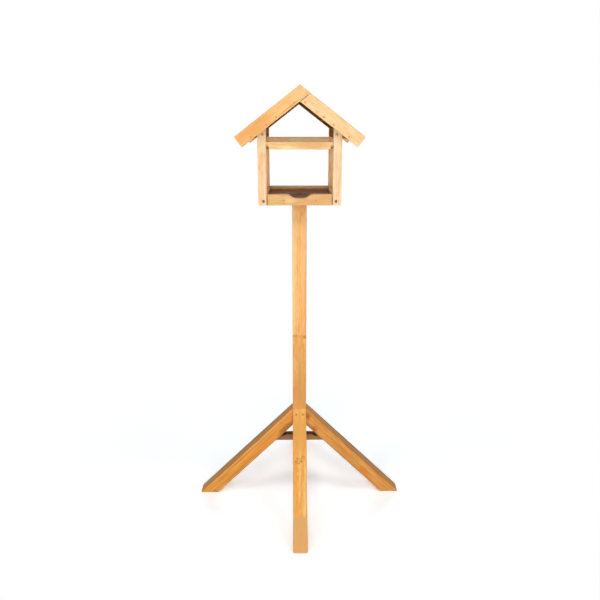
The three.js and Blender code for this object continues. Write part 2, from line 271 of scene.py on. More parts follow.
def pine(
    timber, tone, seed, pith, ring=2.6, figure=0.9, contrast=1.0, gloss=0.15, knots=(), stains_and_painted_light=(),
    faces=(), dipped=None,
):
    """Oiled softwood: growth rings round a pith that runs beside the board, fibre streaks, knots
    at places on the table with their radius and depth of colour, marks at places with their
    length, width, colour, amount and turn that are stains, painted light and painted shade, faces
    painted darker as shade with their colour and amount, and a foot that was dipped up to a place."""
    material = bpy.data.materials.new(f"{timber.name}_pine")
    s = new_shade(material)
    grain = s.node("ShaderNodeTexCoord", output="Object").vector("MULTIPLY", (1 / MM,) * 3)
    shift = (seed * 17.31, seed * 7.13, seed * 3.71)
    to_board = timber.matrix_world.inverted()

    def on_board(place):
        """A place on the table, in the board's own frame."""
        return to_board @ (Vector(place) * MM) / MM

    def streaks(along, across, detail=2.0, output=0):
        """Noise with patches of that length and width."""
        stretched = grain.vector("MULTIPLY_ADD", (1 / along, 1 / across, 1 / across), shift)
        inputs = {"Vector": stretched, "Scale": 1.0, "Detail": detail}
        return s.node("ShaderNodeTexNoise", inputs=inputs, output=output)

    _, y, z = grain.split()
    wander_y, wander_z, _ = streaks(190, 900, 1.0, "Color").split()
    off_y = y - pith[0] + (wander_y - 0.5) * PITH_WANDER
    off_z = z - pith[1] + (wander_z - 0.5) * PITH_WANDER
    radius = (off_y * off_y + off_z * off_z) ** 0.5

    # Knots are branches that grow out from the pith, and the rings bend round them
    heart = rim = None
    for place, size, depth in knots:
        tip = on_board(place)
        root = Vector((tip.x - BRANCH_RISE, pith[0], pith[1]))
        axis = (tip - root).normalized()
        off = grain.vector("SUBTRACT", tuple(tip))
        apart = off.vector("CROSS_PRODUCT", tuple(axis)).vector("LENGTH", output=1) / size
        apart = apart + (streaks(3.4, 2.6) - 0.5) * 0.7
        radius = radius + apart.fade(4.0, 0.6) * (ring * 2.2)
        inside = apart.fade(1.05, 0.9) * depth
        edge = apart.fade(1.3, 1.02) * apart.fade(0.74, 0.98) * (0.6 + 0.4 * depth)
        edge = edge * streaks(size, size * 0.8, 1.0).fade(0.4, 0.54)
        heart = inside if heart is None else heart.maths("MAXIMUM", inside)
        rim = edge if rim is None else rim.maths("MAXIMUM", edge)

    wobble = (streaks(46, 7) - 0.5) * (ring * 0.8)
    uneven = (streaks(4000, 16, 1.0) - 0.5) * (ring * 2.0)
    growth = ((radius + wobble + uneven) / ring).maths("FRACT")
    late = growth.ramp((0.0, 0.0), (0.42, 0.1), (0.84, 1.0), (0.95, 0.8), (1.0, 0.0))
    strength = streaks(120, 15).ramp((0.3, 0.35), (0.7, 1.0)) * figure
    fibre = streaks(16, 0.5, 3.0)
    middling = streaks(30, 4.5, 3.0)
    broad = streaks(170, 8, 2.0)

    pale = times(tone, 1.02, 1.05, 1.10)
    bleached = times(tone, 1.07, 1.18, 1.35)
    dark = times(tone, 0.88, 0.72, 0.52)
    speckle = min(0.28 * contrast, 0.9)
    colour = s.mix(late * strength, pale, dark)
    colour = s.mix(middling.fade(0.5, 0.64) * speckle, colour, dark)
    colour = s.mix(middling.fade(0.47, 0.36) * speckle, colour, bleached)
    ruddy = broad.fade(0.46, 0.46 + 0.26 / contrast) * 0.8
    sappy = broad.fade(0.46, 0.46 - 0.2 / contrast) * 0.75
    colour = s.mix(ruddy, colour, times(tone, 0.94, 0.8, 0.6))
    colour = s.mix(sappy, colour, times(tone, 1.04, 1.1, 1.28))
    flecks = fibre.ramp((0.3, 0.72), (0.55, 1.0), (0.75, 1.06))
    colour = s.mix(1.0, colour, flecks, "MULTIPLY")
    ducts = streaks(5, 0.22, 0.0).fade(0.74, 0.8)
    colour = s.mix(ducts * 0.4, colour, times(tone, 0.6, 0.42, 0.3))

    # Painted shade: faces turned a given way are coloured darker, as if little light reached them
    facing = s.node("ShaderNodeTexCoord", output="Normal")
    for way, painted_shade_tone, amount in faces:
        shade_share = facing.vector("DOT_PRODUCT", way, output=1).fade(0.6, 0.97)
        patchy = streaks(60, 6).fade(0.1, 0.45) * 0.4 + 0.6
        colour = s.mix(shade_share * patchy * amount, colour, painted_shade_tone)

    # Marks: stains in the wood, and on some pieces painted light and painted shade
    for place, length, width, mark_tone, amount, *turn in stains_and_painted_light:
        off = grain.vector("SUBTRACT", tuple(on_board(place)))
        if turn:
            inputs = {"Vector": off, "Angle": turn[0]}
            off = s.node("ShaderNodeVectorRotate", {"rotation_type": "Z_AXIS"}, inputs)
        off = off.vector("MULTIPLY", (1 / length, 1 / width, 1 / width))
        reach = off.vector("LENGTH", output=1) + (streaks(30, 5) - 0.5) * 0.9
        colour = s.mix(reach.fade(1.25, 0.35) * amount, colour, mark_tone)
    if heart is not None:
        heart_tone = s.mix(streaks(1.1, 1.1), KNOT_HEART, times(tone, 0.8, 0.6, 0.4))
        colour = s.mix(heart * 0.85, colour, heart_tone)
        colour = s.mix(rim * 0.8, colour, KNOT_RIM)

    if dipped is not None:
        place, foot_tone = dipped
        line = on_board(place).x
        along, _, _ = grain.split()
        below = (along - y * y * 0.02 + (streaks(3, 3) - 0.5) * 4).fade(line - 1, line + 1)
        colour = s.mix(below * 0.8, colour, foot_tone)

    # Sawn ends soak up more oil, and dirt gathers along the arrises
    end = abs(facing.split()[0]).fade(0.3, 0.6)
    pores = streaks(0.35, 0.35, 1.0)
    soaked = s.mix(1.0, colour, (0.80, 0.70, 0.60, 1), "MULTIPLY")
    colour = s.mix(end * 0.9, colour, soaked)
    colour = s.mix(end * pores.fade(0.5, 0.75) * 0.5, colour, times(tone, 0.55, 0.4, 0.28))
    half_y = max(v.co.y for v in timber.data.vertices) / MM
    half_z = max(v.co.z for v in timber.data.vertices) / MM
    arris = abs(y).fade(half_y - WORN_BAND, half_y) * abs(z).fade(half_z - WORN_BAND, half_z)
    worn = arris * streaks(22, 4).fade(0.35, 0.65)
    colour = s.mix(worn * 0.3, colour, times(tone, 0.8, 0.64, 0.45))

    rough = 0.6 + fibre * 0.16 - late * 0.05 + end * 0.15
    raised = fibre * 0.45 + late * strength * 0.4 + pores * end * 0.6
    if heart is not None:
        raised = raised - rim * 0.8
    relief = {"Strength": GRAIN_STRENGTH, "Distance": GRAIN_RELIEF, "Height": raised}
    normal = s.node("ShaderNodeBump", inputs=relief)
    inputs = {
        "Base Color": colour, "Roughness": rough, "Specular IOR Level": gloss, "Normal": normal,
    }
    surface = s.node("ShaderNodeBsdfPrincipled", inputs=inputs)
    s.node("ShaderNodeOutputMaterial", inputs={"Surface": surface})
    timber.data.materials.clear()
    timber.data.materials.append(material)


KNOT_TONE = linear(186, 112, 62)
SAP_TONE = linear(244, 208, 140)
MOSS_TONE = linear(188, 158, 92)

lower_outline = box_outline(HALF_STOCK, UPRIGHT_FOOT, UPRIGHT_JOINT)
lower_upright = sawn(
    "lower_upright_length", lower_outline, (-HALF_STOCK, HALF_STOCK), UP, FORWARD, arris=STOCK_ARRIS
)
pine(
    lower_upright, linear(240, 177, 105), 3.1, (9, -31), ring=2.4,
    knots=[((15.5, NEAR_FACE, 497), 3.4, 0.8)],
    stains_and_painted_light=[
        ((12.8, NEAR_FACE, 485), 9, 5, SAP_TONE, 0.3),
        ((-1, NEAR_FACE, 380), 90, 5, MOSS_TONE, 0.55),
        ((-12, NEAR_FACE, 500), 5, 9, KNOT_TONE, 0.3),
        ((0, NEAR_FACE, 320), 80, 30, linear(216, 150, 82), 0.75),
    ],
)
fitted(lower_upright, "stand_timber", "lower_upright")

upper_outline = box_outline(HALF_STOCK, UPRIGHT_JOINT, UPRIGHT_TOP)
upper_upright = sawn(
    "upper_upright_length", upper_outline, (-HALF_STOCK, HALF_STOCK), UP, FORWARD, arris=STOCK_ARRIS
)
pine(
    upper_upright, linear(253, 193, 123), 5.7, (-14, -34), ring=2.8,
    stains_and_painted_light=[
        # Painted shade: a darker band and a dark line on the upright just under the tray
        ((0, NEAR_FACE, 868), 26, 24, linear(222, 156, 104), 0.5),
        ((0, NEAR_FACE, 877), 2.4, 26, linear(110, 70, 40), 0.8),
        ((0, NEAR_FACE, 798), 22, 24, linear(255, 206, 138), 0.7),
        ((5.5, NEAR_FACE, 842), 8, 3, linear(196, 140, 80), 0.6),
        ((-1.1, NEAR_FACE, 823), 6, 2.2, linear(214, 160, 84), 0.6),
        ((0, NEAR_FACE, 700), 230, 2.4, linear(238, 178, 86), 0.6),
        ((10, NEAR_FACE, 700), 220, 4, linear(250, 186, 122), 0.5),
        ((-1.3, NEAR_FACE, 524), 22, 3, KNOT_TONE, 0.35),
        ((-17, NEAR_FACE, 690), 210, 9, linear(250, 212, 146), 0.6),
        # Painted shade along the right arris, which is turned away from the light
        ((19, NEAR_FACE, 720), 200, 3.2, linear(206, 164, 116), 0.7),
    ],
)
fitted(upper_upright, "stand_timber", "upper_upright")


# Dowel screw: zinc-plated steel, pointed at both ends, half its length in each part of the upright.
# It can't be seen once they are drawn together.
MOTTLES_PER_METRE = 900
MOTTLE_RELIEF = 0.0001


def zinc(name, tone, seed):
    """Dull passivated zinc with dark, dirty mottling."""
    material = bpy.data.materials.new(name)
    s = new_shade(material)
    place = s.node("ShaderNodeTexCoord", output="Object")
    place = place.vector("MULTIPLY_ADD", (MOTTLES_PER_METRE,) * 3, (seed, 0, 0))
    mottle = s.node("ShaderNodeTexNoise", inputs={"Vector": place, "Scale": 1.0, "Detail": 3.0})
    colour = s.mix(mottle.fade(0.35, 0.65), times(tone, 0.55, 0.5, 0.42), tone)
    rough = 0.38 + mottle * 0.3
    relief = {"Strength": 0.3, "Distance": MOTTLE_RELIEF, "Height": mottle}
    normal = s.node("ShaderNodeBump", inputs=relief)
    inputs = {"Base Color": colour, "Metallic": 0.85, "Roughness": rough, "Normal": normal}
    surface = s.node("ShaderNodeBsdfPrincipled", inputs=inputs)
    s.node("ShaderNodeOutputMaterial", inputs={"Surface": surface})
    return material


DULL_ZINC = linear(128, 112, 86)
dowel_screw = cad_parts["upright_dowel_screw"]
dowel_screw.data.materials.clear()
dowel_screw.data.materials.append(zinc("dowel_screw_zinc", DULL_ZINC, 1.0))


# Legs: four lengths of the same stock that slope out at about 45 degrees. The upper end is cut
# plumb against the upright, the foot is cut level, and the sharp tip of its toe is cut off.
LEG_TOP = 277
LEG_REACH = 297
TOE_HEIGHT = 6
TOE_REACH = 292.9
FIT_GAP = 0.3
LEG_INNER = HALF_STOCK + FIT_GAP
LEG_SLOPE = math.atan2(LEG_TOP - TOE_HEIGHT, TOE_REACH - LEG_INNER)
LEG_LOWER = LEG_TOP - STOCK / math.cos(LEG_SLOPE)
LEG_CUT_EDGE = 1.6
LEG_SCREW_SPACING = 19.6
LEG_SCREW_DROP = 19
SIDE_LEG_SCREW_DROP = 31
HEAD_SINK = 0.2
SPIN_STEP = 1.1


def turned(profile, sides=20):
    """A solid of revolution about Z, from rows of radius and height. The first and the last row
    are points on the axis."""
    solid = bmesh.new()
    first = solid.verts.new((0, 0, profile[0][1]))
    last = solid.verts.new((0, 0, profile[-1][1]))
    turns = [2 * math.pi * i / sides for i in range(sides)]
    rings = [
        [solid.verts.new((radius * math.cos(a), radius * math.sin(a), height)) for a in turns]
        for radius, height in profile[1:-1]
    ]
    for i in range(sides):
        j = (i + 1) % sides
        solid.faces.new((first, rings[0][i], rings[0][j]))
        solid.faces.new((last, rings[-1][j], rings[-1][i]))
        for upper, lower in zip(rings, rings[1:]):
            solid.faces.new((upper[i], lower[i], lower[j], upper[j]))
    bmesh.ops.recalc_face_normals(solid, faces=solid.faces)
    return solid


def placed(name, solid, places):
    """One object with a copy of a solid at each place, which gives the middle of its head and the
    way it is driven."""
    template = bpy.data.meshes.new(name)
    solid.to_mesh(template)
    solid.free()
    joined = bmesh.new()
    for number, (middle, way) in enumerate(places):
        spin = Matrix.Rotation(number * SPIN_STEP, 4, "Z")
        aim = DOWN.rotation_difference(way).to_matrix().to_4x4()
        place = Matrix.Scale(MM, 4) @ Matrix.Translation(middle) @ aim @ spin
        start = len(joined.verts)
        joined.from_mesh(template)
        joined.verts.ensure_lookup_table()
        bmesh.ops.transform(joined, matrix=place, verts=joined.verts[start:])
    mesh = bpy.data.meshes.new(name)
    joined.to_mesh(mesh)
    joined.free()
    bpy.data.meshes.remove(template)
    return new_object(name, mesh)


def cut(piece, tool):
    """Takes the shape of a tool out of a piece."""
    difference = piece.modifiers.new("cut", "BOOLEAN")
    difference.operation = "DIFFERENCE"
    difference.solver = "EXACT"
    difference.object = tool
    settled(piece)


def pitted(piece, profile, places):
    """Sinks a hollow, such as the seat of a screw head, at each place in a piece of timber."""
    tool = placed("seats", turned(profile), places)
    cut(piece, tool)
    bpy.data.objects.remove(tool)


SCREW_SEAT = [(0, 2), (6.4, 2), (3.75, -0.2), (3.65, -0.9), (2.3, -2.9), (2.2, -7), (0, -7)]


def turned_places(places, turn):
    """Moves fastener places along with the piece that they are in."""
    return [(turn @ middle, turn.to_3x3() @ way) for middle, way in places]


def leg_screw_places(drop):
    """The pair of screws in the upper face of a leg, at a distance down from its head."""
    x = LEG_INNER + drop * math.cos(LEG_SLOPE) - HEAD_SINK * math.sin(LEG_SLOPE)
    z = LEG_TOP - drop * math.sin(LEG_SLOPE) - HEAD_SINK * math.cos(LEG_SLOPE)
    way = Vector((-math.sin(LEG_SLOPE), 0, -math.cos(LEG_SLOPE)))
    return [(Vector((x, side * LEG_SCREW_SPACING / 2, z)), way) for side in (-1, 1)]


leg_outline = [
    (LEG_INNER, LEG_TOP),
    (LEG_INNER, LEG_LOWER),
    (LEG_INNER + LEG_LOWER / math.tan(LEG_SLOPE), 0),
    (LEG_REACH, 0),
    (TOE_REACH, TOE_HEIGHT),
]
down_the_leg = Vector((math.cos(LEG_SLOPE), 0, -math.sin(LEG_SLOPE)))
square_to_leg = Vector((math.sin(LEG_SLOPE), 0, math.cos(LEG_SLOPE)))
LEGS = {
    "right": (0, linear(231, 166, 89), 8.3, (-24, -20)),
    "rear": (1, linear(240, 176, 106), 1.9, (30, 12)),
    "left": (2, linear(241, 175, 88), 6.2, (26, -16)),
    "front": (3, linear(250, 187, 103), 4.4, (6, -36)),
}
LEG_KNOTS = {
    "right": [],
    "rear": [((3, 120, 184), 4.2, 0.8)],
    "left": [],
    "front": [((-3.5, -128, 170), 7.8, 0.32), ((8.5, -121, 177), 4.0, 0.3)],
}
LEFT_FOOT_CHIP = (-257, -22.6, 2.2)
FAR_FACE = 19.2
RUST_TONE = linear(196, 92, 44)
# Painted shadow of the upright on the side legs' front faces, near their heads
UPRIGHT_SHADOW = linear(96, 62, 34)
# A dark band along the rear upper arris of the side legs
UPPER_REAR_ARRIS = linear(70, 56, 46)
UPPER_ARRIS = linear(108, 66, 38)
LOWER_ARRIS = linear(170, 108, 56)
REDDISH = linear(176, 104, 62)
LEG_STAINS_AND_SHADE = {
    "right": [
        ((195, NEAR_FACE, 70), 26, 7, linear(224, 130, 44), 0.85),
        ((168, NEAR_FACE, 104), 14, 8, MOSS_TONE, 0.7),
        ((44, NEAR_FACE, 211), 12, 8, RUST_TONE, 0.85),
        ((21, NEAR_FACE, 253), 14, 11, UPRIGHT_SHADOW, 0.6),
        ((34, NEAR_FACE, 212), 34, 9, UPRIGHT_SHADOW, 0.4),
        ((160, FAR_FACE, 138), 200, 12, UPPER_REAR_ARRIS, 0.75),
        ((158, NEAR_FACE, 139.5), 230, 2.4, UPPER_ARRIS, 0.5),
        ((132, NEAR_FACE, 111.4), 200, 4.5, LOWER_ARRIS, 0.55),
        ((150, NEAR_FACE, 146), 22, 5, REDDISH, 0.6),
        ((235, NEAR_FACE, 62), 24, 5, REDDISH, 0.6),
        ((110, NEAR_FACE, 168), 16, 6, linear(206, 160, 70), 0.5),
        ((170, NEAR_FACE, 84), 150, 5, linear(206, 132, 58), 0.6),
        ((120, NEAR_FACE, 150), 46, 3, linear(194, 118, 56), 0.45),
        ((205, NEAR_FACE, 78), 40, 3, linear(240, 176, 96), 0.6),
    ],
    "rear": [],
    "left": [
        ((-72, NEAR_FACE, 185), 60, 6, linear(240, 152, 66), 0.7),
        ((-36, NEAR_FACE, 212), 38, 14, UPRIGHT_SHADOW, 0.62),
        ((-160, FAR_FACE, 138), 200, 12, UPPER_REAR_ARRIS, 0.75),
        ((-158, NEAR_FACE, 139.5), 230, 2.4, UPPER_ARRIS, 0.5),
        ((-132, NEAR_FACE, 111.4), 200, 4.5, LOWER_ARRIS, 0.55),
        ((-205, NEAR_FACE, 92), 22, 5, REDDISH, 0.6),
        ((-120, NEAR_FACE, 176), 24, 5, REDDISH, 0.5),
        ((-198, NEAR_FACE, 66), 14, 6, linear(206, 160, 70), 0.6),
        ((-172, NEAR_FACE, 90), 12, 5, linear(206, 160, 70), 0.5),
        ((-180, NEAR_FACE, 76), 140, 5, linear(206, 124, 46), 0.7),
        ((-155, NEAR_FACE, 136.7), 150, 2.6, linear(246, 182, 108), 0.6),
        ((-151.5, NEAR_FACE, 133), 120, 2.4, linear(212, 142, 68), 0.6),
        ((-147.4, NEAR_FACE, 129), 120, 3.2, linear(252, 172, 88), 0.75),
        ((-96, NEAR_FACE, 178), 60, 3, linear(198, 120, 56), 0.5),
        ((-178, NEAR_FACE, 108), 40, 3, linear(194, 116, 50), 0.6),
        ((-228, NEAR_FACE, 52), 30, 4, linear(198, 122, 58), 0.6),
        # Painted shade in the hollow of the chip at the left foot
        (LEFT_FOOT_CHIP, 9, 5, linear(80, 46, 24), 0.95),
    ],
    "front": [
        ((0, -72, 224), 62, 24, linear(230, 164, 84), 0.85),
        ((-1.5, -153, 145), 6, 11, SAP_TONE, 0.35),
        ((12, -200, 97), 70, 7, SAP_TONE, 0.3),
    ],
}
DIPPED_FOOT = ((-2.3, -232, 66.5), linear(219, 166, 104))
# Painted shade: the upper faces of the side legs are coloured darker, as the front light only
# grazes them
SIDE_LEG_TOP_SHADE = linear(186, 133, 77)
CHIP = [(0, 3.0), (7, 2.1), (10, 0), (7, -2.1), (0, -3.0)]
SIDES = {"left": LEFT, "right": RIGHT}
screw_places = []
screw_nodes = []
for side, (quarter_turns, tone, seed, pith) in LEGS.items():
    turn = Matrix.Rotation(quarter_turns * math.pi / 2, 4, "Z")
    leg = sawn(
        f"{side}_sloping_leg", leg_outline, (-HALF_STOCK, HALF_STOCK), down_the_leg, square_to_leg,
        turn, arris=STOCK_ARRIS, cut_edge=LEG_CUT_EDGE,
    )
    drop = LEG_SCREW_DROP if side in ("front", "rear") else SIDE_LEG_SCREW_DROP
    places = turned_places(leg_screw_places(drop), turn)
    pitted(leg, SCREW_SEAT, places)
    if side == "left":
        pitted(leg, CHIP, [(Vector(LEFT_FOOT_CHIP), DOWN)])
    pine(
        leg, tone, seed, pith, figure=1.2, contrast=2.8, knots=LEG_KNOTS[side],
        stains_and_painted_light=LEG_STAINS_AND_SHADE[side],
        # painted shade on the side legs' upper faces
        faces=[((0, 0, 1), SIDE_LEG_TOP_SHADE, 0.85)] if side in SIDES else (),
        dipped=DIPPED_FOOT if side == "front" else None,
    )
    fitted(leg, "stand_timber", f"{side}_leg")
    screw_places += places
    screw_nodes += [f"{side}_leg_screw_{number}" for number in (1, 2)]


# Leg screws: two zinc-plated countersunk screws go square through the head of each leg into the
# upright. The side legs have theirs lower, clear of the others.
LEG_SCREW_POINT = 1.3
BROWNED_ZINC = linear(214, 158, 98)
SCREW_HEAD = [(0, 0), (3.2, 0), (3.5, -0.18), (3.5, -0.5), (2.1, -2.4), (2, -2.8)]
SCREW_POINT = 5
RECESS_MOUTH = (4.8, 1.1, 0.4)
RECESS_FLOOR = (2.6, 0.5, -1.5)


def screw(length):
    """Countersunk wood screw, before its cross recess is pressed."""
    return turned(SCREW_HEAD + [(2, SCREW_POINT - length), (0.3, 0.2 - length), (0, -length)])


def recessed(piece, places):
    """Presses the cross recess into each screw head."""
    for quarter in (0, math.pi / 2):
        solid = bmesh.new()
        bmesh.ops.create_cube(solid, size=1)
        for vertex in solid.verts:
            length, width, height = RECESS_FLOOR if vertex.co.z < 0 else RECESS_MOUTH
            vertex.co.x *= length
            vertex.co.y *= width
            vertex.co.z = height
        bmesh.ops.rotate(solid, verts=solid.verts, matrix=Matrix.Rotation(quarter, 3, "Z"))
        tool = placed("recesses", solid, places)
        cut(piece, tool)
        bpy.data.objects.remove(tool)


def fastened(piece, tone, seed, *nodes):
    """Finishes a group of fasteners in zinc."""
    piece.data.materials.clear()
    piece.data.materials.append(zinc(f"{piece.name}_zinc", tone, seed))
    fitted(piece, "fastener_steel", *nodes)


leg_screw_reach = LEG_INNER + LEG_SCREW_DROP * math.cos(LEG_SLOPE)
leg_screw_length = (leg_screw_reach - LEG_SCREW_POINT) / math.sin(LEG_SLOPE)
leg_screws = placed("leg_screws", screw(leg_screw_length), screw_places)
recessed(leg_screws, screw_places)
fastened(leg_screws, BROWNED_ZINC, 2.0, *screw_nodes)


# Leg brace: a thin rough board behind the upright, screwed to it and to both side legs. It is
# coloured darker than the other timber, partly as painted shade where it lies behind the legs.
BRACE_DROP = 45.3
BRACE_HEIGHT = 24.5
BRACE_THICKNESS = 12
BRACE_MARGIN = 8
STAIN_INSET = 0.1
BRACE_TOP = LEG_LOWER - BRACE_DROP
BRACE_BOTTOM = BRACE_TOP - BRACE_HEIGHT
BRACE_FRONT = LEG_INNER
BRACE_REAR = BRACE_FRONT + BRACE_THICKNESS
SHORT_SCREW = 30


def leg_reach_at(height):
    """How far out the upper face of a side leg is at a height."""
    return LEG_INNER + (LEG_TOP - height) / math.tan(LEG_SLOPE)


brace_bottom_half = leg_reach_at(BRACE_BOTTOM) - BRACE_MARGIN
brace_top_half = leg_reach_at(BRACE_TOP) - BRACE_MARGIN
brace_outline = [
    (-brace_bottom_half, BRACE_BOTTOM),
    (brace_bottom_half, BRACE_BOTTOM),
    (brace_top_half, BRACE_TOP),
    (-brace_top_half, BRACE_TOP),
]
brace = sawn("rear_leg_brace", brace_outline, (BRACE_FRONT, BRACE_REAR), RIGHT, FORWARD)
brace_middle = (BRACE_TOP + BRACE_BOTTOM) / 2
leg_middle = leg_reach_at(brace_middle) - STOCK / math.sin(LEG_SLOPE) / 2
places = [
    (Vector((x, BRACE_REAR - HEAD_SINK, brace_middle)), FORWARD)
    for x in (-leg_middle, 0, leg_middle)
]
pitted(brace, SCREW_SEAT, places)
brace_shadow = linear(64, 44, 26)
brace_face = BRACE_FRONT + STAIN_INSET
pine(
    brace, linear(172, 132, 92), 9.6, (22, -18), figure=0.6, gloss=0.05,
    # Painted shadow: near black along the top edge and beside each leg; painted light: paler lower
    # corners
    stains_and_painted_light=[
        ((0, brace_face, BRACE_TOP), 160, 6, brace_shadow, 0.95),
        ((-47, brace_face, BRACE_TOP - 7), 19, 4.5, brace_shadow, 0.95, math.radians(-40)),
        ((47, brace_face, BRACE_TOP - 7), 19, 4.5, brace_shadow, 0.95, math.radians(40)),
        ((-50, brace_face, BRACE_BOTTOM + 6), 44, 10, linear(178, 136, 118), 0.7),
        ((50, brace_face, BRACE_BOTTOM + 6), 44, 10, linear(198, 148, 84), 0.7),
    ],
)
fitted(brace, "stand_timber", "leg_brace")
brace_screws = placed("brace_screws", screw(SHORT_SCREW), places)
recessed(brace_screws, places)
fastened(
    brace_screws, DULL_ZINC, 3.0, "brace_screw_left", "brace_screw_middle", "brace_screw_right"
)


# Tray floor: one matt board that lies on the end of the upright inside the rails, with two screws
# down into the upright. Its dark colour is partly painted shade under the roof.
TRAY_BOTTOM = 876.5
FLOOR_RISE = 7
FLOOR_THICKNESS = 10
FLOOR_BOTTOM = TRAY_BOTTOM + FLOOR_RISE
FLOOR_TOP = FLOOR_BOTTOM + FLOOR_THICKNESS
FLOOR_SCREW_REACH = 9
LONG_SCREW = 45
POST_WIDTH = 21
HALF_WIDTH = 103
HALF_DEPTH = 111
INSIDE_WIDTH = HALF_WIDTH - POST_WIDTH
INSIDE_DEPTH = HALF_DEPTH - POST_WIDTH
RAIL_THICKNESS = 16
rail_inner = HALF_DEPTH - RAIL_THICKNESS
floor_half_width = INSIDE_WIDTH - FIT_GAP
floor_half_depth = rail_inner - FIT_GAP
floor_outline = box_outline(floor_half_width, FLOOR_BOTTOM, FLOOR_TOP)
floor_span = (-floor_half_depth, floor_half_depth)
tray_floor = sawn("tray_floor_board", floor_outline, floor_span, RIGHT, UP)
places = [
    (Vector((x, 0, FLOOR_TOP - HEAD_SINK)), DOWN) for x in (-FLOOR_SCREW_REACH, FLOOR_SCREW_REACH)
]
pitted(tray_floor, SCREW_SEAT, places)
pine(
    tray_floor, linear(168, 130, 110), 2.2, (10, -60), ring=3.4, gloss=0,
    stains_and_painted_light=[((2, -8, FLOOR_TOP), 30, 26, linear(98, 76, 64), 0.75)],
)
fitted(tray_floor, "tray_timber", "tray_floor")
floor_screws = placed("floor_screws", screw(LONG_SCREW), places)
recessed(floor_screws, places)
fastened(floor_screws, DULL_ZINC, 4.0, "floor_screw_left", "floor_screw_right")


# Cross rails: planed boards across the ends of the tray, between the corner posts. The front one
# dips in a soft scoop, and two wire nails through each hold the edge of the floor.
RAIL_HEIGHT = 27
RAIL_TOP = TRAY_BOTTOM + RAIL_HEIGHT
RAIL_NAIL_REACH = 40
RAIL_END_SHARE = 0.8
SCOOP_DEPTH = 10
SCOOP_BOTTOM = RAIL_TOP - SCOOP_DEPTH
SCOOP_SHOULDER = 34
SCOOP_FLAT = 8
SCOOP_STEPS = 10
NAIL_SEAT = [(0, 2), (3.8, 2), (2.3, 0), (2.2, -1.1), (1.2, -1.2), (1.1, -5), (0, -5)]
NAIL_HEAD = [(0, 0.02), (1.8, 0), (2.1, -0.15), (2.1, -0.7), (1.1, -0.9)]
NAIL_POINT = 2.5
NAIL_SIDES = 16
LONG_NAIL = 30
OILED_STEEL = linear(206, 156, 104)


def nail(length):
    """Wire nail with a flat round head."""
    shank = [(1.1, NAIL_POINT - length), (0.2, 0.1 - length), (0, -length)]
    return turned(NAIL_HEAD + shank, NAIL_SIDES)


def scoop_outline():
    """The front rail's outline, with one cubic bend on each side of the scoop."""
    bend = (SCOOP_SHOULDER - SCOOP_FLAT) / 2
    pulls = [
        (SCOOP_SHOULDER, RAIL_TOP),
        (SCOOP_SHOULDER - bend, RAIL_TOP),
        (SCOOP_FLAT + bend, SCOOP_BOTTOM),
        (SCOOP_FLAT, SCOOP_BOTTOM),
    ]
    right = []
    for step in range(SCOOP_STEPS + 1):
        t = step / SCOOP_STEPS
        shares = [(1 - t) ** 3, 3 * t * (1 - t) ** 2, 3 * t * t * (1 - t), t ** 3]
        right.append(tuple(sum(share * p[i] for share, p in zip(shares, pulls)) for i in (0, 1)))
    left = [(-x, z) for x, z in reversed(right)]
    end = floor_half_width
    underside = [(-end, TRAY_BOTTOM), (end, TRAY_BOTTOM)]
    return underside + [(end, RAIL_TOP)] + right + left + [(-end, RAIL_TOP)]


rear_outline = box_outline(floor_half_width, TRAY_BOTTOM, RAIL_TOP)
CROSS_RAILS = {
    "front": (FORWARD, scoop_outline(), linear(231, 183, 122), 7.7, (-16, -22), [
        ((-69, -HALF_DEPTH, 885), 26, 9, linear(214, 186, 106), 0.6),
        ((34, -HALF_DEPTH, 884), 40, 12, linear(222, 162, 100), 0.6),
        ((-24, -HALF_DEPTH, 886), 16, 8, linear(246, 204, 142), 0.6),
        ((-81.5, -HALF_DEPTH, 890), 3, 16, linear(110, 76, 38), 0.8),
        ((81.5, -HALF_DEPTH, 890), 3, 16, linear(110, 76, 38), 0.8),
    ]),
    "rear": (BACK, rear_outline, linear(236, 195, 147), 2.9, (18, -26), [
        # Painted shade: the inner face darkens towards the floor, in the front rail's shadow
        ((0, rail_inner, 891.5), 160, 7, linear(152, 100, 40), 0.9),
    ]),
}
nail_places = []
for end, (outward, outline, tone, seed, pith, stains_and_painted_light) in CROSS_RAILS.items():
    span = sorted((outward.y * rail_inner, outward.y * HALF_DEPTH))
    rail = sawn(f"{end}_cross_rail", outline, span, RIGHT, outward, end_share=RAIL_END_SHARE)
    face = HALF_DEPTH - HEAD_SINK
    floor_middle = (FLOOR_BOTTOM + FLOOR_TOP) / 2
    places = [
        (Vector((x, outward.y * face, floor_middle)), -outward)
        for x in (-RAIL_NAIL_REACH, RAIL_NAIL_REACH)
    ]
    pitted(rail, NAIL_SEAT, places)
    pine(rail, tone, seed, pith, stains_and_painted_light=stains_and_painted_light)
    fitted(rail, "house_timber", f"{end}_rail")
    nail_places += places
rail_nails = placed("rail_nails", nail(LONG_NAIL), nail_places)
fastened(
    rail_nails, OILED_STEEL, 5.0, "front_rail_nail_left", "front_rail_nail_right",
    "rear_rail_nail_left", "rear_rail_nail_right",
)


